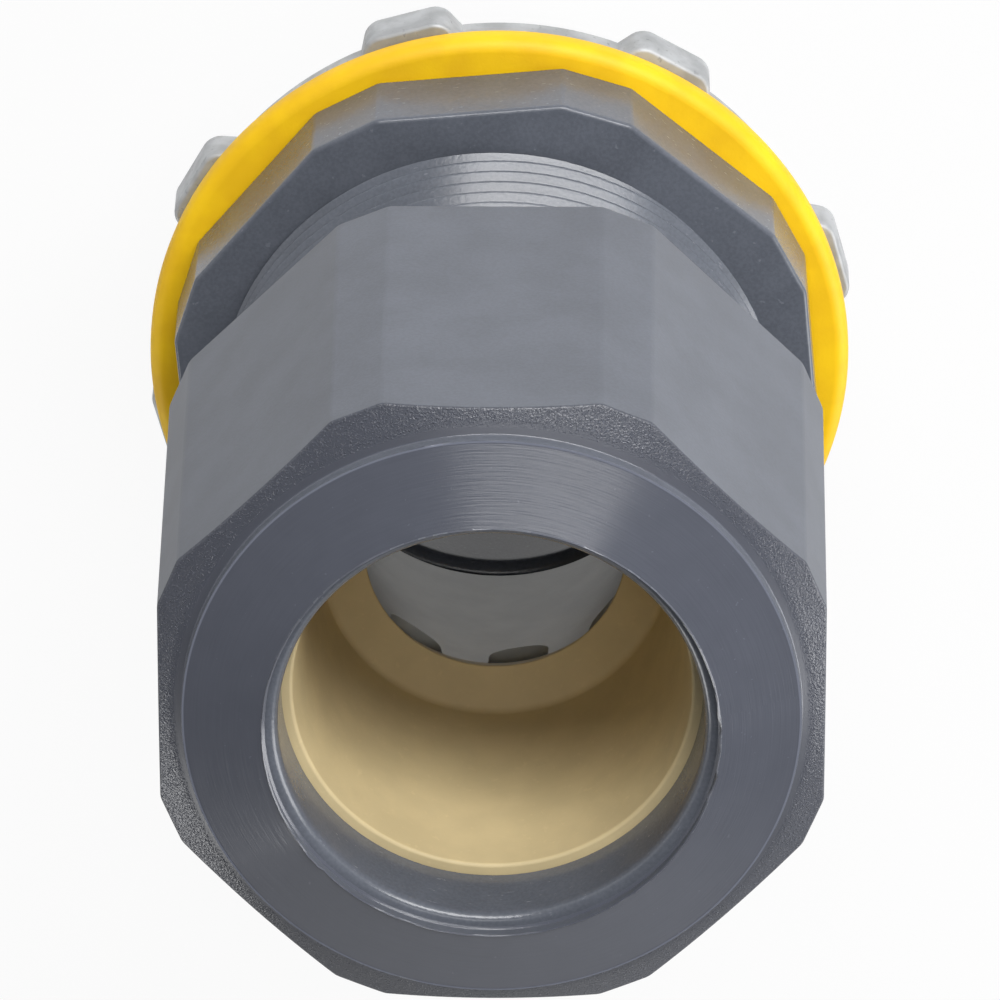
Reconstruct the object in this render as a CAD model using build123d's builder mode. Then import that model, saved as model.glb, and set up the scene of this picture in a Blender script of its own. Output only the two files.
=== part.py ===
from build123d import *
import math
import os

# Strain relief cord connector, 1 in. trade size, standing on the end of its hub.
# Origin: on the axis, in the plane of the flange's sealing face, where the panel sits.
# +Z runs along the cord's way, from the hub out through the gland nut. Millimetres.

# Wrench flats of the nut and the flange, with their corners cut off
wrench_sides = 8
nut_wall = 2.2
nut_corner_reach = 0.95
nut_draft = 0.65
nut_turned_by = -5.1
flange_under_nut = 0.15
flange_corner_reach = 0.7

# Lengths along the axis
hub_length = 17.5
flange_thickness = 5.9
flange_edge_break = 0.3
nut_gap = 14.0
nut_flat_length = 26.6
barrel_engagement = 16.1

# Threads, drawn as plain cylinders at their crests
hub_thread_diameter = 33.4
hub_thread_depth = 1.5
gland_thread_diameter = 34.7
gland_thread_depth = 0.8
thread_clearance = 0.3

# Clearances between the pieces
running_gap = 0.3
seat_gap = 0.1

# Passage through the hub
hub_bore_diameter = 24.0
hub_mouth_round = 1.0

# Front of the gland nut: textured cone, raised ring face, rounded lip and mouth
front_cone_angle = 28.0
ring_face_diameter = 36.2
ring_step = 0.65
ring_step_round = 0.25
ring_face_rise = 2.35
mouth_diameter = 25.9
mouth_throat_diameter = 24.8
mouth_depth = 6.0
lip_round = 0.5
nut_entry_chamfer = 0.7
nut_thread_relief = 2.0

# Sealing gland
gland_diameter = 28.6
gland_length = 19.5
gland_nose_diameter = 25.6
gland_nose_length = 3.4
gland_front_bore = 22.6
gland_rear_bore = 21.1
gland_edge_round = 0.4
ledge_thickness = 1.4
ledge_fall = 0.9
cord_hole_diameter = 15.66

# Grip ring
grip_ring_length = 18.7
grip_front_bore = 16.8
grip_rear_bore = 23.6
grip_rear_wall = 1.25
grip_rear_round = 0.5
grip_slot_count = 8
grip_slot_width = 3.7
grip_slot_depth = 3.0
grip_slots_turned_by = 4.5
grip_ring_travel = 1.5

# Sealing ring
sealing_ring_margin = 2.25
sealing_ring_thickness = 2.2
sealing_ring_round = 0.9

# Locknut
locknut_thickness = 3.0
locknut_wall = 3.9
lug_count = 8
lug_reach = 1.4
lug_tip_width = 4.9
lug_root_width = 8.8
lug_corner_round = 1.0
lugs_turned_by = 10.3
locknut_edge_round = 0.4

# Radii that follow from the sizes above
hub_radius = hub_thread_diameter / 2
hub_bore_radius = hub_bore_diameter / 2
barrel_radius = gland_thread_diameter / 2
gland_radius = gland_diameter / 2
chamber_radius = gland_radius + running_gap
grip_ring_radius = grip_rear_bore / 2 + grip_rear_wall
pocket_radius = grip_ring_radius + running_gap
ring_face_radius = ring_face_diameter / 2
mouth_radius = mouth_diameter / 2
throat_radius = mouth_throat_diameter / 2
nut_thread_radius = barrel_radius + thread_clearance
nut_flat_radius = nut_thread_radius + nut_wall
nut_corner_radius = nut_flat_radius + nut_corner_reach
flange_flat_radius = nut_flat_radius - flange_under_nut
flange_corner_radius = flange_flat_radius + flange_corner_reach
sealing_ring_radius = flange_flat_radius + sealing_ring_margin
locknut_thread_radius = hub_radius + thread_clearance
locknut_rim_radius = locknut_thread_radius + locknut_wall

# Lugs run from the middle of the locknut's wall out to their tips
lug_root_radius = locknut_rim_radius - locknut_wall / 2
lug_height = locknut_rim_radius + lug_reach - lug_root_radius
lug_middle_radius = lug_root_radius + lug_height / 2
lug_side_angle = math.degrees(math.atan2(lug_height, (lug_root_width - lug_tip_width) / 2))

# Places along the axis that follow from the sizes above
nut_back = flange_thickness + nut_gap
barrel_front = nut_back + barrel_engagement
flats_front = nut_back + nut_flat_length
corner_radius_front = nut_corner_radius - nut_flat_length * math.tan(math.radians(nut_draft))
cone_slope = math.tan(math.radians(front_cone_angle))
ring_foot = flats_front + (corner_radius_front - ring_face_radius) * cone_slope
ring_edge = ring_foot + ring_step
nut_front = ring_edge + ring_face_rise
shoulder = nut_front - mouth_depth
gland_front = shoulder - seat_gap
gland_rear = gland_front - gland_length
gland_nose_end = gland_rear + gland_nose_length
grip_ring_rear = gland_rear - grip_ring_length
pocket_floor = grip_ring_rear - grip_ring_travel - seat_gap
locknut_front = -sealing_ring_thickness - seat_gap

# The gland and its ring sink by the grip ring's travel as the nut is tightened
seat_drop = grip_ring_travel + running_gap


os.makedirs("parts", exist_ok=True)


def corner_cut(flat_radius, corner_radius):
    """Length cut off each side of the octagon so that its corners end at the given radius."""
    corner = flat_radius / math.cos(math.pi / wrench_sides)
    return (corner - corner_radius) / math.sin(math.pi / wrench_sides)


def off_axis(point):
    """Distance of a point from the connector's axis."""
    return math.hypot(point.X, point.Y)


def at_radius(part, radius):
    """Circular edges of a part that have the given radius, from the lowest to the highest."""
    circles = part.edges().filter_by(GeomType.CIRCLE)
    return circles.filter_by(lambda edge: abs(edge.radius - radius) < 0.001).sort_by(Axis.Z)


# Connector body: hub, wrench flange and threaded barrel around one stepped passage
with BuildPart() as connector_body:
    with BuildSketch(Plane.XY) as flange_outline:
        RegularPolygon(flange_flat_radius, wrench_sides, major_radius=False, rotation=180 / wrench_sides)
        chamfer(flange_outline.vertices(), corner_cut(flange_flat_radius, flange_corner_radius))
    extrude(amount=flange_thickness)
    chamfer(connector_body.edges().group_by(Axis.Z)[-1], flange_edge_break)
    with BuildSketch(Plane.XY) as hub_outline:
        Circle(hub_radius)
    extrude(amount=-hub_length)
    with BuildSketch(Plane.XY.offset(flange_thickness)) as barrel_outline:
        Circle(barrel_radius)
    extrude(amount=barrel_front - flange_thickness)
    chamfer(at_radius(connector_body, hub_radius)[0], hub_thread_depth)
    chamfer(at_radius(connector_body, barrel_radius)[-1], gland_thread_depth)
    with BuildSketch(Plane.XZ) as passage_profile:
        with BuildLine() as passage_line:
            Polyline(
                (0, -hub_length),
                (hub_bore_radius, -hub_length),
                (hub_bore_radius, pocket_floor),
                (pocket_radius, pocket_floor),
                (pocket_radius, gland_rear - seat_drop),
                (chamber_radius, gland_nose_end - seat_drop),
                (chamber_radius, barrel_front),
                (0, barrel_front),
                close=True,
            )
        make_face()
    revolve(axis=Axis.Z, mode=Mode.SUBTRACT)
    fillet(at_radius(connector_body, hub_bore_radius), hub_mouth_round)
connector_body.part.label = "connector_body"
export_step(connector_body.part, "parts/connector_body.step")

# Gland nut: drafted octagon, turned nose with a raised ring face, and a stepped bore
with BuildPart() as gland_nut:
    with BuildSketch(Plane.XY.offset(nut_back).rotated((0, 0, nut_turned_by))) as nut_outline:
        RegularPolygon(nut_flat_radius, wrench_sides, major_radius=False, rotation=180 / wrench_sides)
        chamfer(nut_outline.vertices(), corner_cut(nut_flat_radius, nut_corner_radius))
    extrude(amount=nut_front - nut_back, taper=nut_draft)
    with BuildSketch(Plane.XZ) as nose_profile:
        with BuildLine() as nose_line:
            cone_foot_radius = nut_corner_radius + running_gap
            cone_foot = ring_foot - (cone_foot_radius - ring_face_radius) * cone_slope
            Polyline(
                (0, nut_back),
                (cone_foot_radius, nut_back),
                (cone_foot_radius, cone_foot),
                (ring_face_radius, ring_foot),
                (ring_face_radius, ring_edge),
                (mouth_radius, nut_front),
                (0, nut_front),
                close=True,
            )
        make_face()
    revolve(axis=Axis.Z, mode=Mode.INTERSECT)
    with BuildSketch(Plane.XZ) as nut_bore_profile:
        with BuildLine() as nut_bore_line:
            thread_end = barrel_front + nut_thread_relief
            Polyline(
                (0, nut_back),
                (nut_thread_radius, nut_back),
                (nut_thread_radius, thread_end),
                (chamber_radius, thread_end + nut_thread_radius - chamber_radius),
                (chamber_radius, shoulder),
                (throat_radius, shoulder),
                (mouth_radius, nut_front),
                (0, nut_front),
                close=True,
            )
        make_face()
    revolve(axis=Axis.Z, mode=Mode.SUBTRACT)
    fillet(at_radius(gland_nut, mouth_radius)[-1], lip_round)
    fillet(at_radius(gland_nut, ring_face_radius)[0], ring_step_round)
    chamfer(at_radius(gland_nut, nut_thread_radius)[0], nut_entry_chamfer)
gland_nut.part.label = "gland_nut"
export_step(gland_nut.part, "parts/gland_nut.step")

# Sealing gland: thick sleeve with a coned nose, a tapered bore and a thin ledge round the cord hole
with BuildPart() as sealing_gland:
    with BuildSketch(Plane.XZ) as gland_profile:
        with BuildLine() as gland_line:
            ledge_rim = gland_rear + ledge_thickness
            Polyline(
                (cord_hole_diameter / 2, gland_rear),
                (gland_nose_diameter / 2, gland_rear),
                (gland_radius, gland_nose_end),
                (gland_radius, gland_front),
                (gland_front_bore / 2, gland_front),
                (gland_rear_bore / 2, ledge_rim + ledge_fall),
                (cord_hole_diameter / 2, ledge_rim),
                close=True,
            )
        make_face()
    revolve(axis=Axis.Z)
    fillet(at_radius(sealing_gland, gland_front_bore / 2)[-1], gland_edge_round)
sealing_gland.part.label = "sealing_gland"
export_step(sealing_gland.part, "parts/sealing_gland.step")

# Grip ring: coned bore that widens to the rear, and fingers between slots in its front rim
with BuildPart() as grip_ring:
    with BuildSketch(Plane.XZ) as grip_profile:
        with BuildLine() as grip_line:
            Polyline(
                (grip_rear_bore / 2, grip_ring_rear),
                (grip_ring_radius, grip_ring_rear),
                (grip_ring_radius, gland_rear - grip_slot_depth),
                (gland_nose_diameter / 2, gland_rear),
                (grip_front_bore / 2, gland_rear),
                close=True,
            )
        make_face()
    revolve(axis=Axis.Z)
    fillet(at_radius(grip_ring, grip_rear_bore / 2), grip_rear_round)
    slot_centre = gland_rear - grip_slot_depth + grip_slot_width / 2
    slot_planes = []
    for slot in range(grip_slot_count):
        turn = math.radians(grip_slots_turned_by + slot * 360 / grip_slot_count)
        sideways = (-math.sin(turn), math.cos(turn), 0)
        outwards = (math.cos(turn), math.sin(turn), 0)
        slot_planes.append(Plane(origin=(0, 0, slot_centre), x_dir=sideways, z_dir=outwards))
    with BuildSketch(*slot_planes) as slot_outlines:
        Circle(grip_slot_width / 2)
        Rectangle(grip_slot_width, grip_slot_depth, align=(Align.CENTER, Align.MIN))
    extrude(amount=pocket_radius, mode=Mode.SUBTRACT)
grip_ring.part.label = "grip_ring"
export_step(grip_ring.part, "parts/grip_ring.step")

# Sealing ring: flat ring with a rounded rim
with BuildPart() as sealing_ring:
    with BuildSketch(Plane.XY) as sealing_ring_outline:
        Circle(sealing_ring_radius)
        Circle(hub_radius + running_gap, mode=Mode.SUBTRACT)
    extrude(amount=-sealing_ring_thickness)
    fillet(at_radius(sealing_ring, sealing_ring_radius), sealing_ring_round)
sealing_ring.part.label = "sealing_ring"
export_step(sealing_ring.part, "parts/sealing_ring.step")

# Locknut: threaded ring with tapered lugs that a screwdriver drives
with BuildPart() as locknut:
    with BuildSketch(Plane.XY.offset(locknut_front)) as locknut_outline:
        Circle(locknut_rim_radius)
        with PolarLocations(lug_middle_radius, lug_count, start_angle=lugs_turned_by):
            Trapezoid(lug_root_width, lug_height, lug_side_angle, rotation=-90)
        lug_corners = locknut_outline.vertices().filter_by(lambda v: off_axis(v) > lug_middle_radius)
        fillet(lug_corners, lug_corner_round)
        Circle(locknut_thread_radius, mode=Mode.SUBTRACT)
    extrude(amount=-locknut_thickness)
    outer_edges = locknut.edges().filter_by(lambda edge: off_axis(edge @ 0.5) > lug_root_radius)
    fillet(outer_edges.group_by(Axis.Z)[0] + outer_edges.group_by(Axis.Z)[-1], locknut_edge_round)
locknut.part.label = "locknut"
export_step(locknut.part, "parts/locknut.step")
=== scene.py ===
"""Strain relief cord connector: its threads, edges and finishes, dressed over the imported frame."""

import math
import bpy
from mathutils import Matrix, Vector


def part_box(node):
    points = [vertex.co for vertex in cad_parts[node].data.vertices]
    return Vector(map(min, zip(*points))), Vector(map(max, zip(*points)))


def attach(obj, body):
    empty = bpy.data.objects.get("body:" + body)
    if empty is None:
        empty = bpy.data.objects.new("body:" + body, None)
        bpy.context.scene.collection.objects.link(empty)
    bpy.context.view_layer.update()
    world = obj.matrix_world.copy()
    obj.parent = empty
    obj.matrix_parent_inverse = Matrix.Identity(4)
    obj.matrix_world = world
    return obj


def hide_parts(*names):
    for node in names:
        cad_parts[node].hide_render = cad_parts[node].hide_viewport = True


bl_info = {
    "name": "Strain Relief Cord Connector",
    "version": (1, 0, 0),
    "blender": (4, 5, 0),
    "location": "View3D > Sidebar > Connector",
    "description": "Models the pieces and finishes of a strain relief cord connector",
    "category": "Object",
}

import bmesh
import bpy
from mathutils import Euler, Matrix, Vector, noise

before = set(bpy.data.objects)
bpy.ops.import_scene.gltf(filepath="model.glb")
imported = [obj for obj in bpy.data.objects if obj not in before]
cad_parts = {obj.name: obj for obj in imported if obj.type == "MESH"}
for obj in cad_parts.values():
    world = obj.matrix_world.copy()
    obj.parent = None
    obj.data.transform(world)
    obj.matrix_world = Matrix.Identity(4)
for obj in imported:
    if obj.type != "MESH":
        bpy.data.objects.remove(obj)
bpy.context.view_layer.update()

# The frame is in metres, and sizes below are in millimetres
MM = 0.001
LATHE_STEPS = 192
THREAD_STEPS = 96
ARC_STEP = math.radians(15)
SHARP_ANGLE = math.radians(32)
WELD = 0.0015 * MM
ON_PLANE = 1e-8
BLANK_MARGIN = 0.6
FLAT_MARGIN = 1.0
CUT_MARGIN = 1.5
FLOOR_RADIUS = 1500
LOCKNUT_STEPS = 240
LUG_HALF_ANGLE = math.radians(9)
SIDES = 8


def box_mm(node):
    """Lowest and highest corners of a frame node, in millimetres."""
    low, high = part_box(node)
    return Vector(low) / MM, Vector(high) / MM


BODY_LOW, BODY_HIGH = box_mm("connector_body")
NUT_LOW, NUT_HIGH = box_mm("gland_nut")
GLAND_LOW, GLAND_HIGH = box_mm("sealing_gland")
SEAL_LOW, SEAL_HIGH = box_mm("sealing_ring")
LOCKNUT_LOW, LOCKNUT_HIGH = box_mm("locknut")


def size(name, description, default):
    """A length in millimetres that a user may change."""
    return bpy.props.FloatProperty(name=name, description=description + ", mm", default=default)


def angle(name, description, degrees):
    """An angle that a user may change."""
    return bpy.props.FloatProperty(
        name=name, description=description, default=math.radians(degrees), subtype="ANGLE"
    )


def power(name, description, watts):
    """A lamp's power that a user may change."""
    return bpy.props.FloatProperty(name=name, description=description, default=watts, unit="POWER")


def tint(name, description, *shades):
    """A colour that a user may change, given in screen values from 0 to 255."""
    linear = [((s / 255 + 0.055) / 1.055) ** 2.4 if s > 10 else s / 255 / 12.92 for s in shades]
    return bpy.props.FloatVectorProperty(
        name=name, description=description, default=linear, size=3, subtype="COLOR", min=0, max=1
    )


class ThreadSettings(bpy.types.PropertyGroup):
    hub_radius: size("Hub thread radius", "Crest radius of the hub thread", 16.7)
    hub_pitch: size("Hub pitch", "Pitch of the hub thread", 2.209)
    hub_depth: size("Hub thread depth", "Depth of the hub thread", 1.3)
    hub_plain: size("Hub plain end", "Length of the hub's end that has no thread", 3.0)
    barrel_radius: size("Gland thread radius", "Crest radius of the gland thread", 17.35)
    barrel_pitch: size("Gland pitch", "Pitch of the gland thread", 1.5)
    barrel_depth: size("Gland thread depth", "Depth of the gland thread", 0.75)
    nut_reach: size("Nut thread reach", "Nut's thread beyond the barrel's front", 2.0)
    clearance: size("Thread clearance", "Room between a thread and its nut", 0.3)


class BodySettings(bpy.types.PropertyGroup):
    flat_radius: size("Flat radius", "Axis to a flat of the wrench flange", 19.7)
    corner_radius: size("Corner radius", "Axis to a corner facet of the flange", 20.4)
    flange: size("Flange", "Thickness of the wrench flange", 5.9)
    bore_radius: size("Bore radius", "Radius of the hub's bore", 12.0)
    pocket_radius: size("Pocket radius", "Radius round the grip ring", 13.35)
    pocket_floor: size("Pocket floor", "Height of the pocket's floor", 4.875)
    seat_foot: size("Seat foot", "Height of the narrow end of the gland's seat", 23.375)
    seat_top: size("Seat top", "Height of the wide end of the gland's seat", 26.775)
    chamber_radius: size("Chamber radius", "Radius round the sealing gland", 14.6)
    edge_break: size("Edge break", "Width of the flange's edges", 0.3)
    edge_round: size("Edge rounding", "Rounding of the flange's upright edges", 1.2)


class NutSettings(bpy.types.PropertyGroup):
    flat_radius: size("Flat radius", "Axis to a wrench flat at the back", 19.85)
    corner_radius: size("Corner radius", "Axis to a corner facet at the back", 20.8)
    flat_length: size("Flat length", "Length of a corner facet", 26.6)
    draft: angle("Draft", "Lean of the wrench flats", 0.65)
    turned_by: angle("Turned by", "Turn of the wrench flats from X", -5.1)
    cone_angle: angle("Cone angle", "Slope of the grained cone", 28)
    ring_radius: size("Ring radius", "Outer radius of the raised ring face", 18.1)
    ring_step: size("Ring step", "Height of the ring face over the cone", 0.65)
    ring_rise: size("Ring rise", "Rise of the ring face to the mouth", 2.35)
    mouth_radius: size("Mouth radius", "Radius at the lip", 12.95)
    throat_radius: size("Throat radius", "Radius at the shoulder", 12.4)
    mouth_depth: size("Mouth depth", "Lip to shoulder", 6.0)
    edge_break: size("Edge break", "Width of the worn edges", 0.14)
    edge_round: size("Edge rounding", "Rounding of the upright edges", 1.5)


class InsideSettings(bpy.types.PropertyGroup):
    front_bore: size("Front bore", "Radius of the gland's bore at the front", 11.75)
    rear_bore: size("Rear bore", "Radius of the gland's bore at its ledge", 10.55)
    cord_hole: size("Cord hole", "Radius of the hole in the ledge", 7.83)
    ledge: size("Ledge", "Thickness of the ledge at the cord hole", 1.4)
    ledge_fall: size("Ledge fall", "Fall of the ledge to the cord hole", 0.9)
    foot_radius: size("Foot radius", "Radius of the gland's rear face", 12.8)
    foot_length: size("Foot length", "Length of the gland's tapered rear", 3.4)


class LocknutSettings(bpy.types.PropertyGroup):
    rim_radius: size("Rim radius", "Outer radius between the lugs", 20.9)
    tip_radius: size("Tip radius", "Axis to the end of a lug", 22.3)
    tip_share: bpy.props.FloatProperty(
        name="Tip share", description="Width of a lug's tip over its root", default=0.75
    )
    turned_by: angle("Turned by", "Turn of the first lug from X", 10.3)
    corner: size("Corner", "Rounding of a lug's corners", 0.75)
    edge: size("Edge", "Rounding of the outer edges", 0.28)


class ColourSettings(bpy.types.PropertyGroup):
    nylon: tint("Nylon", "Grey nylon of the body and the nut", 94, 98, 107)
    nylon_dark: tint("Nylon, glossy", "Polished nylon of the ring face", 86, 89, 99)
    cream: tint("Cream rubber", "Rubber of the sealing gland", 209, 190, 146)
    pale: tint("Pale nylon", "Nylon of the grip ring", 206, 207, 204)
    yellow: tint("Yellow", "Plastic of the sealing ring", 255, 200, 0)
    zinc: tint("Zinc", "Cast zinc of the locknut", 180, 182, 184)


class StageSettings(bpy.types.PropertyGroup):
    azimuth: angle("Azimuth", "Turn of the view from the front", -6.2)
    elevation: angle("Elevation", "Height of the view over the floor", 63.53)
    roll: angle("Roll", "Roll of the view", 181.18)
    distance: size("Distance", "Camera to the back of the nut", 603.6)
    lens: bpy.props.FloatProperty(name="Lens", description="Focal length", default=356.1, unit="CAMERA")
    key_power: power("Key", "Power of the key lamp", 5.7)
    side_power: power("Side", "Power of the side lamp", 3.0)
    left_power: power("Left", "Power of the low lamp on the left", 1.0)
    top_power: power("Top", "Power of the lamp behind the camera", 0.85)
    fill: bpy.props.FloatProperty(name="Fill", description="Strength of the surroundings", default=0.23)


def settings(name):
    """The user's values of one group."""
    return getattr(bpy.context.scene, name)


# Outlines and solids of revolution


def corner_arc(corner, before, after, radius):
    """Points of the arc that rounds a corner of an outline."""
    corner, before, after = Vector(corner), Vector(before), Vector(after)
    inward, outward = (before - corner).normalized(), (after - corner).normalized()
    half = inward.angle(outward) / 2
    setback = radius / math.tan(half)
    centre = corner + (inward + outward).normalized() * (radius / math.sin(half))
    start, end = corner + inward * setback - centre, corner + outward * setback - centre
    sweep = math.atan2(start.x * end.y - start.y * end.x, start.dot(end))
    steps = max(1, math.ceil(abs(sweep) / ARC_STEP))
    points = []
    for i in range(steps + 1):
        turn = sweep * i / steps
        across = start.x * math.cos(turn) - start.y * math.sin(turn)
        along = start.x * math.sin(turn) + start.y * math.cos(turn)
        points.append(centre + Vector((across, along)))
    return points


def rounded(outline):
    """Points of an outline of (radius, height) or (radius, height, rounding)."""
    points = []
    for i, (radius, height, *rounding) in enumerate(outline):
        if rounding:
            after = outline[(i + 1) % len(outline)]
            points += corner_arc((radius, height), outline[i - 1][:2], after[:2], rounding[0])
        else:
            points.append(Vector((radius, height)))
    return points


def lathe(bm, outline, closed=True, steps=LATHE_STEPS, start=0.0):
    """Spins an outline once round the axis."""
    points = rounded(outline)
    verts = [bm.verts.new((p.x * MM * math.cos(start), p.x * MM * math.sin(start), p.y * MM)) for p in points]
    edges = [bm.edges.new(pair) for pair in zip(verts, verts[1:])]
    if closed:
        edges.append(bm.edges.new((verts[-1], verts[0])))
    bmesh.ops.spin(
        bm, geom=verts + edges, cent=(0, 0, 0), axis=(0, 0, 1), angle=math.tau, steps=steps, use_merge=True
    )


def height_span(edge):
    """Difference in height between an edge's ends."""
    return abs(edge.verts[0].co.z - edge.verts[1].co.z)


def rim(bm, height):
    """Edges of the open rim at a height."""
    return [
        e for e in bm.edges if e.is_boundary and all(abs(v.co.z / MM - height) < 0.005 for v in e.verts)
    ]


def join_rims(bm, first, second):
    """Closes the band between the open rims at two heights."""
    bmesh.ops.bridge_loops(bm, edges=rim(bm, first) + rim(bm, second))


def thread(bm, crest, root, pitch, low, high):
    """Right-hand screw thread with open rims at its two ends. Threads of one pitch are in step."""
    depth = crest - root
    # Rounded root, flank and rounded crest, as shares of the pitch and of the depth
    flank = ((0.03, 0.02), (0.08, 0.1), (0.42, 0.9), (0.47, 0.98))
    form = [(0, root)] + [(share, root + depth * rise) for share, rise in flank]
    form += [(1 - share, root + depth * rise) for share, rise in reversed(flank)] + [(1, root)]
    start = (math.floor(low / pitch) - 1) * pitch
    turns = math.ceil((high - start) / pitch) + 1
    new = bmesh.new()
    verts = [new.verts.new((r * MM, 0, (start + share * pitch) * MM)) for share, r in form]
    edges = [new.edges.new(pair) for pair in zip(verts, verts[1:])]
    bmesh.ops.spin(
        new, geom=verts + edges, cent=(0, 0, 0), axis=(0, 0, 1), angle=math.tau,
        dvec=(0, 0, pitch * MM / THREAD_STEPS), steps=THREAD_STEPS,
    )
    turn = new.verts[:] + new.edges[:] + new.faces[:]
    for i in range(1, turns):
        copy = bmesh.ops.duplicate(new, geom=turn)["geom"]
        moved = [v for v in copy if isinstance(v, bmesh.types.BMVert)]
        bmesh.ops.translate(new, verts=moved, vec=(0, 0, pitch * MM * i))
    bmesh.ops.remove_doubles(new, verts=new.verts, dist=WELD)
    for height, side in ((low, -1), (high, 1)):
        bmesh.ops.bisect_plane(
            new, geom=new.verts[:] + new.edges[:] + new.faces[:], dist=ON_PLANE,
            plane_co=(0, 0, height * MM), plane_no=(0, 0, side), clear_outer=True,
        )
    mesh = bpy.data.meshes.new("thread")
    new.to_mesh(mesh)
    new.free()
    bm.from_mesh(mesh)
    bpy.data.meshes.remove(mesh)


def cut_octagon(bm, flat_radius, corner_radius, edge_round, base, draft=0.0, turned_by=0.0):
    """Cuts the flats, the corner facets and the rounding between them, and closes each with one face."""
    step = math.pi / SIDES
    cuts = [(step * i, corner_radius if i % 2 else flat_radius) for i in range(2 * SIDES)]
    for i in range(2 * SIDES):
        first, second = cuts[i][1] - edge_round, cuts[(i + 1) % (2 * SIDES)][1] - edge_round
        across = (second - first * math.cos(step)) / math.sin(step)
        for share in (0.25, 0.5, 0.75):
            reach = first * math.cos(step * share) + across * math.sin(step * share) + edge_round
            cuts.append((step * (i + share), reach))
    for turn, reach in cuts:
        turn += turned_by
        outward = Vector((math.cos(turn), math.sin(turn), 0))
        lean = outward * math.cos(draft) + Vector((0, 0, math.sin(draft)))
        near = [f for f in bm.faces if max(v.co.dot(outward) for v in f.verts) > (reach - CUT_MARGIN) * MM]
        geom = list({v for f in near for v in f.verts} | {e for f in near for e in f.edges}) + near
        cut = bmesh.ops.bisect_plane(
            bm, geom=geom, dist=ON_PLANE, plane_co=outward * reach * MM + Vector((0, 0, base * MM)),
            plane_no=lean, clear_outer=True,
        )
        edges = [e for e in cut["geom_cut"] if isinstance(e, bmesh.types.BMEdge)]
        bmesh.ops.edgeloop_fill(bm, edges=edges)


def fray(bm, radius, low, high, reach):
    """Makes the flash round a moulding line uneven, more so in some places than in others."""
    for vert in bm.verts:
        if abs(vert.co.xy.length / MM - radius) < 0.12 and low < vert.co.z / MM < high:
            place = Vector((vert.co.x, vert.co.y, radius)) / MM
            patch = max(0.15, noise.noise(place * 0.13) * 2.2)
            bite = (noise.noise(place * 0.9) + 0.6 * noise.noise(place * 2.3)) * patch * reach
            vert.co.xy *= 1 + bite / radius
            vert.co.z -= abs(bite) * 0.2 * MM


def bevel(bm, edges, width, segments):
    """Rounds edges over a width in millimetres."""
    bmesh.ops.bevel(
        bm, geom=edges, offset=width * MM, offset_type="OFFSET", affect="EDGES", segments=segments,
        profile=0.5, material=-1, clamp_overlap=False,
    )


def break_edges(bm, width, flat_radius):
    """Rounds the edges at both ends of an octagon's upright faces."""
    reach = (flat_radius - FLAT_MARGIN) * MM
    upright = {f for f in bm.faces if abs(f.normal.z) < 0.05 and f.calc_center_median().xy.length > reach}
    edges = [
        e for e in bm.edges
        if len(e.link_faces) == 2 and len(upright.intersection(e.link_faces)) == 1
        and e.calc_face_angle(0) > 0.5
    ]
    bevel(bm, edges, width, 3)


def finish_piece(bm, name, materials, body, node):
    """Closes a mesh into a piece that stands for a frame node and rides on its body."""
    bmesh.ops.remove_doubles(bm, verts=bm.verts, dist=WELD)
    bmesh.ops.recalc_face_normals(bm, faces=bm.faces)
    for face in bm.faces:
        face.smooth = True
    for edge in bm.edges:
        edge.smooth = edge.calc_face_angle(0) < SHARP_ANGLE
    loose = sum(not e.is_manifold for e in bm.edges)
    if loose:
        raise RuntimeError(f"{name} has {loose} open edges")
    mesh = bpy.data.meshes.new(name)
    bm.to_mesh(mesh)
    bm.free()
    for material in materials:
        mesh.materials.append(material)
    piece = bpy.data.objects.new(name, mesh)
    bpy.context.scene.collection.objects.link(piece)
    shading = piece.modifiers.new("Weighted shading", "WEIGHTED_NORMAL")
    shading.keep_sharp = True
    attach(piece, body)
    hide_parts(node)
    return piece


# Materials


class Value:
    """A node's output. Arithmetic on it adds Math nodes."""

    def __init__(self, nodes, output):
        self.nodes = nodes
        self.output = output

    def also(self, output):
        """Another output of the same node."""
        return Value(self.nodes, self.output.node.outputs[output])

    def __add__(self, other):
        return self.nodes.math("ADD", self, other)

    def __sub__(self, other):
        return self.nodes.math("SUBTRACT", self, other)

    def __rsub__(self, other):
        return self.nodes.math("SUBTRACT", other, self)

    def __mul__(self, other):
        return self.nodes.math("MULTIPLY", self, other)

    def __pow__(self, other):
        return self.nodes.math("POWER", self, other)

    __radd__ = __add__
    __rmul__ = __mul__

    def between(self, low, high):
        """Share of the way from low to high, kept within 0 and 1."""
        inputs = {"Value": self, "From Min": low, "From Max": high}
        return self.nodes.node("ShaderNodeMapRange", {"interpolation_type": "SMOOTHSTEP"}, inputs)


class Nodes:
    """A node tree in the making."""

    def __init__(self, tree):
        self.tree = tree
        tree.nodes.clear()

    def node(self, kind, options=None, inputs=None, output=0):
        """Adds a node, with its options before its inputs, and returns one of its outputs."""
        node = self.tree.nodes.new(kind)
        for key, value in (options or {}).items():
            setattr(node, key, value)
        for key, value in (inputs or {}).items():
            if isinstance(value, Value):
                self.tree.links.new(value.output, node.inputs[key])
            else:
                node.inputs[key].default_value = value
        return Value(self, node.outputs[output]) if node.outputs else None

    def math(self, operation, *values):
        """Adds a Math node on one or more values."""
        return self.node("ShaderNodeMath", {"operation": operation}, dict(enumerate(values)))

    def mix(self, share, first, second):
        """Shader between two shaders."""
        return self.node("ShaderNodeMixShader", inputs={0: share, 1: first, 2: second})

    def rays(self):
        """Masks of the rays that the camera sends and of those that gloss and glass send on."""
        camera = self.node("ShaderNodeLightPath", output="Is Camera Ray")
        mirrored = self.math("MAXIMUM", camera.also("Is Glossy Ray"), camera.also("Is Transmission Ray"))
        return camera, mirrored


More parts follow.
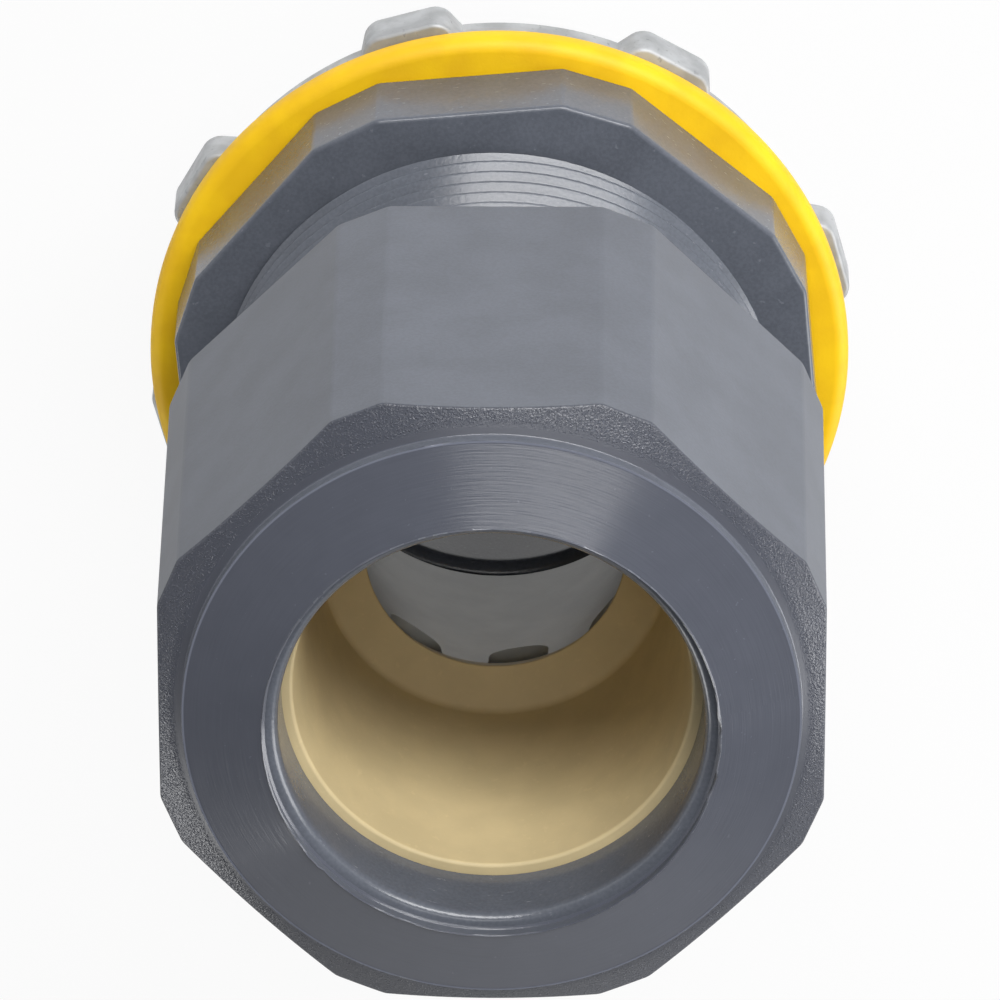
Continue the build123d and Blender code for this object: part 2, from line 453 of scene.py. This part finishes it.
class Finish(Nodes):
    """A material in the making, on Object coordinates in millimetres."""

    def __init__(self, name):
        self.material = bpy.data.materials.new(name)
        self.material.use_nodes = True
        super().__init__(self.material.node_tree)
        place = self.node("ShaderNodeTexCoord", output="Object")
        self.place = self.node("ShaderNodeMapping", inputs={"Vector": place, "Scale": (1 / MM,) * 3})

    def plan(self):
        """Places across and along the piece, seen down its axis."""
        across = self.node("ShaderNodeSeparateXYZ", inputs={"Vector": self.place})
        return across, across.also("Y")

    def noise(self, scale, detail=2.0, stretch=(1, 1, 1)):
        """Noise from 0 to 1 with a number of features to the millimetre."""
        place = self.place
        if stretch != (1, 1, 1):
            place = self.node("ShaderNodeMapping", inputs={"Vector": place, "Scale": stretch})
        return self.node("ShaderNodeTexNoise", inputs={"Vector": place, "Scale": scale, "Detail": detail})

    def blend(self, share, first, second):
        """Colour between two colours."""
        inputs = {"Factor": share, "A": first, "B": second}
        return self.node("ShaderNodeMix", {"data_type": "RGBA", "clamp_factor": True}, inputs, output=2)

    def bump(self, height, distance):
        """Relief of a height from 0 to 1 over a distance in millimetres."""
        inputs = {"Height": height, "Distance": distance * MM, "Strength": 1.0}
        return self.node("ShaderNodeBump", inputs=inputs)

    def shaded(self, shader):
        """Joins a shader to the output and returns the material."""
        self.node("ShaderNodeOutputMaterial", inputs={"Surface": shader})
        return self.material

    def surface(self, **inputs):
        """Gives the material a principled shader and returns it."""
        named = {key.replace("_", " "): value for key, value in inputs.items()}
        return self.shaded(self.node("ShaderNodeBsdfPrincipled", inputs=named))


def shade(colour, factor):
    """A colour made lighter or darker, as a shader takes it."""
    return tuple(min(1.0, c * factor) for c in colour) + (1.0,)


def moulded_nylon(name, colour, roughness=0.42):
    """Satin moulded nylon with faint flow mottling, fine scuffs and handling wear."""
    finish = Finish(name)
    clouds = finish.noise(0.25, 3)
    speckle = finish.noise(5.0, 2)
    scuffs = finish.noise(1.4, 4, stretch=(1, 1, 4)).between(0.62, 0.78)
    tone = clouds.between(0.3, 0.7) * 0.5 + speckle.between(0.3, 0.7) * 0.5
    base = finish.blend(tone, shade(colour, 0.86), shade(colour, 1.14))
    base = finish.blend(scuffs * 0.35, base, shade(colour, 1.5))
    relief = finish.bump(clouds * 0.5 + speckle * 0.5, 0.018)
    roughness = roughness + speckle * 0.1 + scuffs * 0.1
    return finish.surface(Base_Color=base, Roughness=roughness, Normal=relief, IOR=1.5)


def grained_nylon(name, colour, line_radius):
    """Spark-eroded nylon: fine grain with painted glints that lighten its colour on the peaks; it fades out
    at the ring line.
    """
    finish = Finish(name)
    across, along = finish.plan()
    radius = (across * across + along * along) ** 0.5
    grained = radius.between(line_radius + 0.35, line_radius + 0.95)
    coarse = finish.noise(7.0, 1)
    fine = finish.noise(13.0, 1)
    peaks_and_painted_glints = finish.noise(8.0, 0).between(0.6, 0.72)
    clouds = finish.noise(0.4, 3)
    base = finish.blend(clouds * 0.5 + fine * 0.5, shade(colour, 0.7), shade(colour, 0.9))
    # Painted highlight: the colour is lightened on the grain's peaks as glints
    base = finish.blend(peaks_and_painted_glints * grained * 0.18, base, shade(colour, 2.4))
    relief = finish.bump((coarse * 0.3 + fine * 0.2 + peaks_and_painted_glints * 0.5) * grained, 0.09)
    return finish.surface(Base_Color=base, Roughness=0.3 - grained * 0.14, Normal=relief, IOR=1.5)


def polished_nylon(name, colour, line_radius):
    """Glossy moulded face with fine turning streaks round the axis, and a painted highlight along the ring
    line.
    """
    finish = Finish(name)
    across, along = finish.plan()
    radius = (across * across + along * along) ** 0.5
    turn = finish.math("ARCTAN2", along, across)
    polar = finish.node("ShaderNodeCombineXYZ", inputs={"X": radius * 9, "Y": turn * 4})
    streaks = finish.node("ShaderNodeTexNoise", inputs={"Vector": polar, "Scale": 1.0, "Detail": 3.0})
    clouds = finish.noise(0.5, 3)
    specks = finish.noise(3.0, 2).between(0.72, 0.76)
    base = finish.blend(streaks * 0.5 + clouds * 0.5, shade(colour, 0.86), shade(colour, 1.14))
    base = finish.blend(specks * 0.4, base, shade(colour, 1.7))
    inside = radius.between(line_radius - 0.12, line_radius - 0.06)
    outside = radius.between(line_radius + 0.01, line_radius + 0.04)
    # Painted highlight: a thin light band just inside the ring line
    base = finish.blend(inside * (1 - outside) * 0.4, base, shade(colour, 3.2))
    relief = finish.bump(streaks * 0.6 + clouds * 0.3, 0.012)
    return finish.surface(Base_Color=base, Roughness=0.12 + streaks * 0.1, Normal=relief, IOR=1.5)


def soft_rubber(name, colour):
    """Matt cream rubber with cloudy mottling and a little dust."""
    finish = Finish(name)
    clouds = finish.noise(0.35, 3)
    grain = finish.noise(4.0, 3)
    dust = finish.noise(1.8, 4).between(0.6, 0.75)
    base = finish.blend(clouds.between(0.3, 0.7), shade(colour, 0.95), shade(colour, 1.03))
    base = finish.blend(dust * 0.25, base, shade(colour, 1.25))
    relief = finish.bump(clouds * 0.3 + grain * 0.4, 0.012)
    return finish.surface(Base_Color=base, Roughness=0.5 + grain * 0.14, Normal=relief, IOR=1.5)


def ring_plastic(name, colour, roughness):
    """Moulded ring plastic with soft mottling."""
    finish = Finish(name)
    clouds = finish.noise(0.3, 3)
    grain = finish.noise(5.0, 2)
    base = finish.blend(clouds.between(0.3, 0.7), shade(colour, 0.9), shade(colour, 1.06))
    relief = finish.bump(clouds * 0.4 + grain * 0.5, 0.02)
    return finish.surface(Base_Color=base, Roughness=roughness + grain * 0.12, Normal=relief, IOR=1.5)


def cast_zinc(name, colour):
    """Tumbled zinc casting with cloudy spangle, fine pits and brighter worn patches."""
    finish = Finish(name)
    clouds = finish.noise(0.6, 3)
    grain = finish.noise(4.5, 3)
    pits = finish.noise(2.6, 2).between(0.64, 0.74)
    base = finish.blend(clouds.between(0.3, 0.7), shade(colour, 0.8), shade(colour, 1.1))
    base = finish.blend(pits * 0.6, base, shade(colour, 0.55))
    relief = finish.bump(clouds * 0.5 + grain * 0.3 + (1 - pits) * 0.2, 0.03)
    return finish.surface(
        Base_Color=base, Metallic=0.35, Roughness=0.42 + grain * 0.16 + pits * 0.12, Normal=relief
    )


# Pieces


class OBJECT_OT_connector_body(bpy.types.Operator):
    """Model the connector body: hub, wrench flange, threaded barrel and passage"""

    bl_idname = "object.connector_body"
    bl_label = "Connector body"

    def execute(self, context):
        body, threads = settings("connector_body"), settings("connector_threads")
        hub_end, barrel_front = BODY_LOW.z, BODY_HIGH.z
        hub_root = threads.hub_radius - threads.hub_depth
        barrel_root = threads.barrel_radius - threads.barrel_depth
        barrel_foot, barrel_tip = body.flange + 0.35, barrel_front - 0.15
        barrel_run = (barrel_foot + 0.25, barrel_tip - 0.55)
        hub_run = (hub_end + threads.hub_plain, -1.0)
        hub_top, hub_tip = -0.5, hub_run[0] - 0.05
        bm = bmesh.new()
        blank = body.corner_radius + BLANK_MARGIN
        lathe(bm, (
            (barrel_root, barrel_foot),
            (barrel_root, body.flange, 0.15),
            (blank, body.flange),
            (blank, 0),
            (hub_root, 0),
            (hub_root, hub_top),
        ), closed=False)
        cut_octagon(bm, body.flat_radius, body.corner_radius, body.edge_round, 0)
        break_edges(bm, body.edge_break, body.flat_radius)
        lathe(bm, (
            (barrel_root + 0.1, barrel_tip),
            (barrel_root - 0.1, barrel_front),
            (body.chamber_radius, barrel_front, 0.2),
            (body.chamber_radius, body.seat_top),
            (body.pocket_radius, body.seat_foot),
            (body.pocket_radius, body.pocket_floor, 0.2),
            (body.bore_radius, body.pocket_floor, 1.0),
            (body.bore_radius, hub_end, 1.0),
            (hub_root - 0.6, hub_end, 0.1),
            (hub_root, hub_end + 0.6),
            (hub_root, hub_tip),
        ), closed=False)
        thread(bm, threads.barrel_radius, barrel_root, threads.barrel_pitch, *barrel_run)
        thread(bm, threads.hub_radius, hub_root, threads.hub_pitch, *hub_run)
        join_rims(bm, barrel_foot, barrel_run[0])
        join_rims(bm, barrel_tip, barrel_run[1])
        join_rims(bm, hub_top, hub_run[1])
        join_rims(bm, hub_tip, hub_run[0])
        nylon = moulded_nylon("body_nylon", settings("connector_colours").nylon, roughness=0.18)
        finish_piece(bm, "connector_body_shell", [nylon], "body", "connector_body")
        return {"FINISHED"}


class OBJECT_OT_gland_nut(bpy.types.Operator):
    """Model the gland nut: drafted octagon, grained cone, raised ring face and threaded bore"""

    bl_idname = "object.gland_nut"
    bl_label = "Gland nut"

    def execute(self, context):
        nut, threads, body = (settings("connector_" + name) for name in ("nut", "threads", "body"))
        back = NUT_LOW.z
        slope = math.tan(nut.cone_angle)
        corner_front = nut.corner_radius - nut.flat_length * math.tan(nut.draft)
        ring_foot = back + nut.flat_length + (corner_front - nut.ring_radius) * slope
        ring_edge = ring_foot + nut.ring_step
        front = ring_edge + nut.ring_rise
        shoulder = front - nut.mouth_depth
        bore = threads.barrel_radius + threads.clearance
        blank = nut.corner_radius + BLANK_MARGIN
        thread_end = BODY_HIGH.z + threads.nut_reach
        bore_back, bore_front = back + 0.35, thread_end - 0.4
        bm = bmesh.new()
        lathe(bm, (
            (bore + 0.3, bore_back),
            (bore + 0.65, back, 0.1),
            (blank, back),
            (blank, ring_foot - (blank - nut.ring_radius) * slope),
            (nut.ring_radius + 0.03, ring_foot - 0.02, 0.18),
            (nut.ring_radius, ring_edge - 0.08),
            (nut.ring_radius + 0.05, ring_edge - 0.02),
            (nut.ring_radius + 0.03, ring_edge + 0.05),
            (nut.ring_radius - 0.05, ring_edge + 0.08),
            (nut.ring_radius - 0.16, ring_edge + 0.08),
            (nut.mouth_radius + 0.50, NUT_HIGH.z - 0.11),
            (nut.mouth_radius + 0.44, NUT_HIGH.z - 0.01),
            (nut.mouth_radius + 0.36, NUT_HIGH.z - 0.07),
            (nut.mouth_radius + 0.43, front - 1.05),
            (nut.mouth_radius + 0.28, front - 1.17, 0.05),
            (nut.mouth_radius - 0.45, front - 1.16, 0.68),
            (nut.throat_radius + 0.06, front - 2.4),
            (nut.throat_radius, shoulder),
            (body.chamber_radius, shoulder, 0.2),
            (body.chamber_radius, thread_end + bore - body.chamber_radius),
            (bore, thread_end),
            (bore, bore_front),
        ), closed=False)
        cut_octagon(bm, nut.flat_radius, nut.corner_radius, nut.edge_round, back, nut.draft, nut.turned_by)
        break_edges(bm, nut.edge_break, nut.flat_radius)
        fray(bm, nut.ring_radius, ring_edge - 0.01, ring_edge + 0.1, 0.1)
        fray(bm, nut.mouth_radius + 0.44, NUT_HIGH.z - 0.1, NUT_HIGH.z, 0.22)
        run = (bore_back + 0.45, bore_front - 0.5)
        root = threads.barrel_radius - threads.barrel_depth + threads.clearance
        thread(bm, bore, root, threads.barrel_pitch, *run)
        join_rims(bm, bore_back, run[0])
        join_rims(bm, bore_front, run[1])
        bmesh.ops.recalc_face_normals(bm, faces=bm.faces)
        side, cone, ring_face, mouth = range(4)
        for face in bm.faces:
            middle = face.calc_center_median() / MM
            reach = middle.xy.length
            face.material_index = side
            if reach < nut.mouth_radius + 0.3 and middle.z > shoulder + 0.01:
                face.material_index = mouth
            elif face.normal.z > 0.5 and middle.z > back + nut.flat_length - 3:
                face.material_index = cone if reach > nut.ring_radius + 0.3 else ring_face
        tones = settings("connector_colours")
        materials = [
            moulded_nylon("nut_nylon", tones.nylon),
            grained_nylon("nut_grain", tones.nylon_dark, nut.ring_radius),
            polished_nylon("nut_ring_face", tones.nylon_dark, nut.ring_radius),
            moulded_nylon("nut_mouth", tones.nylon, roughness=0.16),
        ]
        finish_piece(bm, "gland_nut_shell", materials, "nut", "gland_nut")
        return {"FINISHED"}


class OBJECT_OT_inside_rings(bpy.types.Operator):
    """Model the sealing gland and finish the grip ring behind it"""

    bl_idname = "object.inside_rings"
    bl_label = "Sealing gland and grip ring"

    def execute(self, context):
        inside = settings("connector_inside")
        rear, front = GLAND_LOW.z, GLAND_HIGH.z
        outer = GLAND_HIGH.x
        ledge = rear + inside.ledge
        bm = bmesh.new()
        lathe(bm, (
            (inside.cord_hole + 0.55, rear, 0.1),
            (inside.foot_radius, rear, 0.3),
            (outer, rear + inside.foot_length, 0.4),
            (outer, front, 0.4),
            (inside.front_bore, front, 0.25),
            (inside.rear_bore, ledge + inside.ledge_fall, 0.5),
            (inside.cord_hole, ledge, 0.12),
        ))
        tones = settings("connector_colours")
        rubber = soft_rubber("gland_rubber", tones.cream)
        finish_piece(bm, "sealing_gland_sleeve", [rubber], "gland", "sealing_gland")
        pale = ring_plastic("grip_ring_nylon", tones.pale, roughness=0.34)
        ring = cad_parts["grip_ring"]
        for place in ring.material_slots:
            place.material = pale
        return {"FINISHED"}


class OBJECT_OT_sealing_ring(bpy.types.Operator):
    """Model the yellow sealing ring under the flange"""

    bl_idname = "object.sealing_ring"
    bl_label = "Sealing ring"

    def execute(self, context):
        threads = settings("connector_threads")
        bore = threads.hub_radius + threads.clearance
        rim_radius = SEAL_HIGH.x
        bm = bmesh.new()
        lathe(bm, (
            (bore, SEAL_HIGH.z, 0.2),
            (rim_radius, SEAL_HIGH.z, 0.9),
            (rim_radius, SEAL_LOW.z, 0.9),
            (bore, SEAL_LOW.z, 0.2),
        ))
        yellow = ring_plastic("sealing_ring_plastic", settings("connector_colours").yellow, roughness=0.5)
        finish_piece(bm, "sealing_ring_band", [yellow], "seal", "sealing_ring")
        return {"FINISHED"}


class OBJECT_OT_locknut(bpy.types.Operator):
    """Model the zinc locknut: threaded ring with eight rounded lugs"""

    bl_idname = "object.locknut"
    bl_label = "Locknut"

    def execute(self, context):
        nut, threads = settings("connector_locknut"), settings("connector_threads")
        low, high = LOCKNUT_LOW.z, LOCKNUT_HIGH.z
        bore = threads.hub_radius + threads.clearance
        bore_low, bore_high = low + 0.3, high - 0.3
        bm = bmesh.new()
        lathe(bm, (
            (bore + 0.1, bore_high),
            (bore + 0.4, high),
            (nut.rim_radius, high),
            (nut.rim_radius, low),
            (bore + 0.4, low),
            (bore + 0.1, bore_low),
        ), closed=False, steps=LOCKNUT_STEPS, start=nut.turned_by)
        for i in range(SIDES):
            self.push_out_lug(bm, nut, nut.turned_by + i * math.tau / SIDES)
        bmesh.ops.remove_doubles(bm, verts=bm.verts, dist=WELD)
        bmesh.ops.recalc_face_normals(bm, faces=bm.faces)
        bevel(bm, self.outer_edges(bm, nut.tip_radius - 0.5, upright=True), nut.corner, 5)
        bevel(bm, self.outer_edges(bm, nut.rim_radius - 0.1, upright=False), nut.edge, 3)
        run = (bore_low + 0.3, bore_high - 0.3)
        root = threads.hub_radius - threads.hub_depth + threads.clearance
        thread(bm, bore, root, threads.hub_pitch, *run)
        join_rims(bm, bore_high, run[1])
        join_rims(bm, bore_low, run[0])
        zinc = cast_zinc("locknut_zinc", settings("connector_colours").zinc)
        finish_piece(bm, "locknut_casting", [zinc], "locknut", "locknut")
        return {"FINISHED"}

    def push_out_lug(self, bm, nut, centre):
        """Pushes a stretch of the outer wall out to a tapered lug with straight sides."""
        turn = Matrix.Rotation(-centre, 3, "Z")
        wall = []
        for face in bm.faces:
            middle = turn @ face.calc_center_median()
            across = math.atan2(middle.y, middle.x)
            if abs(across) < LUG_HALF_ANGLE and middle.xy.length / MM > nut.rim_radius - 0.01:
                wall.append(face)
        pushed = bmesh.ops.extrude_face_region(bm, geom=wall)["geom"]
        bmesh.ops.delete(bm, geom=wall, context="FACES")
        tips = {v for v in pushed if isinstance(v, bmesh.types.BMVert)}
        for vert in tips:
            place = turn @ vert.co
            place.x = nut.tip_radius * MM
            place.y *= nut.tip_share
            vert.co = turn.transposed() @ place
        side = max(abs((turn @ v.co).y) for v in tips) - 0.01 * MM
        inner = {v for v in tips if abs((turn @ v.co).y) < side}
        lines = {e for v in inner for e in v.link_edges if e.other_vert(v) not in tips or height_span(e) > MM}
        bmesh.ops.dissolve_edges(bm, edges=list(lines), use_verts=True, use_face_split=False)

    def outer_edges(self, bm, radius, upright):
        """Sharp edges beyond a radius, the upright ones or those that lie flat."""
        edges = []
        for edge in bm.edges:
            turns = height_span(edge) > MM if upright else height_span(edge) < 0.1 * MM
            beyond = min(v.co.xy.length for v in edge.verts) > radius * MM
            if turns and beyond and edge.calc_face_angle(0) > 0.6:
                edges.append(edge)
        return edges


class SCENE_OT_connector_stage(bpy.types.Operator):
    """Set the white floor, the lamps and the camera"""

    bl_idname = "scene.connector_stage"
    bl_label = "Stage"

    def execute(self, context):
        stage = settings("connector_stage")
        scene = context.scene
        target = Vector((0, 0, NUT_LOW.z * MM))
        self.lay_floor(scene)
        self.light_world(scene, stage.fill)
        lamps = (
            ("key_lamp", (-0.22, -0.56, 0.46), (0.64, 0.24), stage.key_power),
            ("side_lamp", (-0.66, 0.22, 0.26), (0.40, 0.40), stage.side_power),
            ("left_lamp", (0.55, 0.45, 0.2), (0.30, 0.20), stage.left_power),
            ("top_lamp", (-0.143, -0.308, 0.85), (0.46, 0.14), stage.top_power),
        )
        for name, place, spread, energy in lamps:
            self.add_lamp(name, place, target, spread, energy)
        self.place_camera(scene, stage, target)
        scene.view_settings.view_transform = "Standard"
        return {"FINISHED"}

    def lay_floor(self, scene):
        """A wide white floor under the hub."""
        bm = bmesh.new()
        bmesh.ops.create_circle(bm, cap_ends=True, segments=96, radius=FLOOR_RADIUS * MM)
        bmesh.ops.translate(bm, verts=bm.verts, vec=(0, 0, BODY_LOW.z * MM))
        mesh = bpy.data.meshes.new("floor")
        bm.to_mesh(mesh)
        bm.free()
        floor = bpy.data.objects.new("floor", mesh)
        scene.collection.objects.link(floor)
        mesh.materials.append(self.floor_paper())

    def place_camera(self, scene, stage, target):
        """The photo's view, with the target a little off its centre."""
        data = bpy.data.cameras.new("camera")
        data.lens = stage.lens
        data.sensor_width = 36
        data.clip_start, data.clip_end = 0.01, 20
        camera = bpy.data.objects.new("camera", data)
        turn = Euler((math.pi / 2 - stage.elevation, 0, stage.azimuth)).to_matrix()
        turn = turn @ Matrix.Rotation(stage.roll, 3, "Z")
        camera.rotation_euler = turn.to_euler()
        off_centre = Vector((-0.2317, -0.0752, 0))
        aim = target - turn @ off_centre * MM
        camera.location = aim + turn @ Vector((0, 0, stage.distance * MM))
        scene.collection.objects.link(camera)
        scene.camera = camera

    def add_lamp(self, name, place, target, spread, energy):
        """A soft lamp, width and height in metres, aimed at the connector."""
        data = bpy.data.lights.new(name, "AREA")
        data.shape = "RECTANGLE"
        data.size, data.size_y = spread
        data.energy = energy
        lamp = bpy.data.objects.new(name, data)
        lamp.location = place
        lamp.rotation_euler = (Vector(place) - target).to_track_quat("Z", "Y").to_euler()
        bpy.context.scene.collection.objects.link(lamp)

    def floor_paper(self):
        """Floor that reads white to the eye and keeps the connector's shadow; in reflections it glows white,
        with painted shade towards +X.
        """
        finish = Finish("floor_paper")
        camera, mirrored = finish.rays()
        fibre = finish.noise(0.8, 3) * 0.02
        paper = finish.node("ShaderNodeBsdfDiffuse", inputs={
            "Color": finish.blend(fibre, (0.86, 0.86, 0.86, 1), (0.8, 0.8, 0.8, 1)),
        })
        across, _ = finish.plan()
        # Painted shade: in reflections the floor's white glow dims towards +X, down to 0.3 at 160 mm
        dim_side = across.between(0.0, 160.0) * (1 - camera)
        glow = finish.blend(dim_side, (1, 1, 1, 1), (0.3, 0.3, 0.3, 1))
        white = finish.node("ShaderNodeEmission", inputs={"Color": glow, "Strength": 1.0})
        seen = finish.math("MAXIMUM", camera, mirrored)
        return finish.shaded(finish.mix(seen * 0.92, paper, white))

    def light_world(self, scene, fill):
        """White surroundings to the eye, and a fill that is brighter at the horizon than overhead."""
        world = bpy.data.worlds.new("studio")
        scene.world = world
        world.use_nodes = True
        sky = Nodes(world.node_tree)
        place = sky.node("ShaderNodeTexCoord", output="Generated")
        height = sky.node("ShaderNodeSeparateXYZ", inputs={"Vector": place}, output="Z")

        def fade(low, high, horizon, overhead):
            inputs = {"Value": height, "From Min": low, "From Max": high}
            inputs |= {"To Min": horizon, "To Max": overhead}
            return sky.node("ShaderNodeMapRange", inputs=inputs)

        def backdrop(colour, strength):
            return sky.node("ShaderNodeBackground", inputs={"Color": colour, "Strength": strength})

        soft = backdrop((0.96, 0.98, 1.0, 1), fade(0.0, 0.8, fill, fill * 0.4))
        horizon = backdrop((1, 1, 1, 1), fade(0.36, 0.55, 1.0, fill * 0.4))
        white = backdrop((1, 1, 1, 1), 1.0)
        camera, mirrored = sky.rays()
        seen = sky.mix(camera, sky.mix(mirrored, soft, horizon), white)
        sky.node("ShaderNodeOutputWorld", inputs={"Surface": seen})


PIECES = (
    OBJECT_OT_connector_body,
    OBJECT_OT_gland_nut,
    OBJECT_OT_inside_rings,
    OBJECT_OT_sealing_ring,
    OBJECT_OT_locknut,
)
GROUPS = {
    "connector_threads": ThreadSettings,
    "connector_body": BodySettings,
    "connector_nut": NutSettings,
    "connector_inside": InsideSettings,
    "connector_locknut": LocknutSettings,
    "connector_colours": ColourSettings,
    "connector_stage": StageSettings,
}


class VIEW3D_PT_connector(bpy.types.Panel):
    """Sizes, colours and steps of the connector"""

    bl_label = "Strain Relief Connector"
    bl_idname = "VIEW3D_PT_connector"
    bl_space_type = "VIEW_3D"
    bl_region_type = "UI"
    bl_category = "Connector"

    def draw(self, context):
        for name in GROUPS:
            group = settings(name)
            column = self.layout.column(align=True)
            for prop in group.bl_rna.properties:
                if prop.identifier not in ("rna_type", "name"):
                    column.prop(group, prop.identifier)
        for operator in PIECES + (SCENE_OT_connector_stage,):
            self.layout.operator(operator.bl_idname)


CLASSES = tuple(GROUPS.values()) + PIECES + (SCENE_OT_connector_stage, VIEW3D_PT_connector)


def register():
    for cls in CLASSES:
        bpy.utils.register_class(cls)
    for name, group in GROUPS.items():
        setattr(bpy.types.Scene, name, bpy.props.PointerProperty(type=group))


def unregister():
    for name in GROUPS:
        delattr(bpy.types.Scene, name)
    for cls in reversed(CLASSES):
        bpy.utils.unregister_class(cls)


def main():
    register()
    bpy.ops.object.connector_body()
    bpy.ops.object.gland_nut()
    bpy.ops.object.inside_rings()
    bpy.ops.object.sealing_ring()
    bpy.ops.object.locknut()
    bpy.ops.scene.connector_stage()


if __name__ == "__main__":
    main()
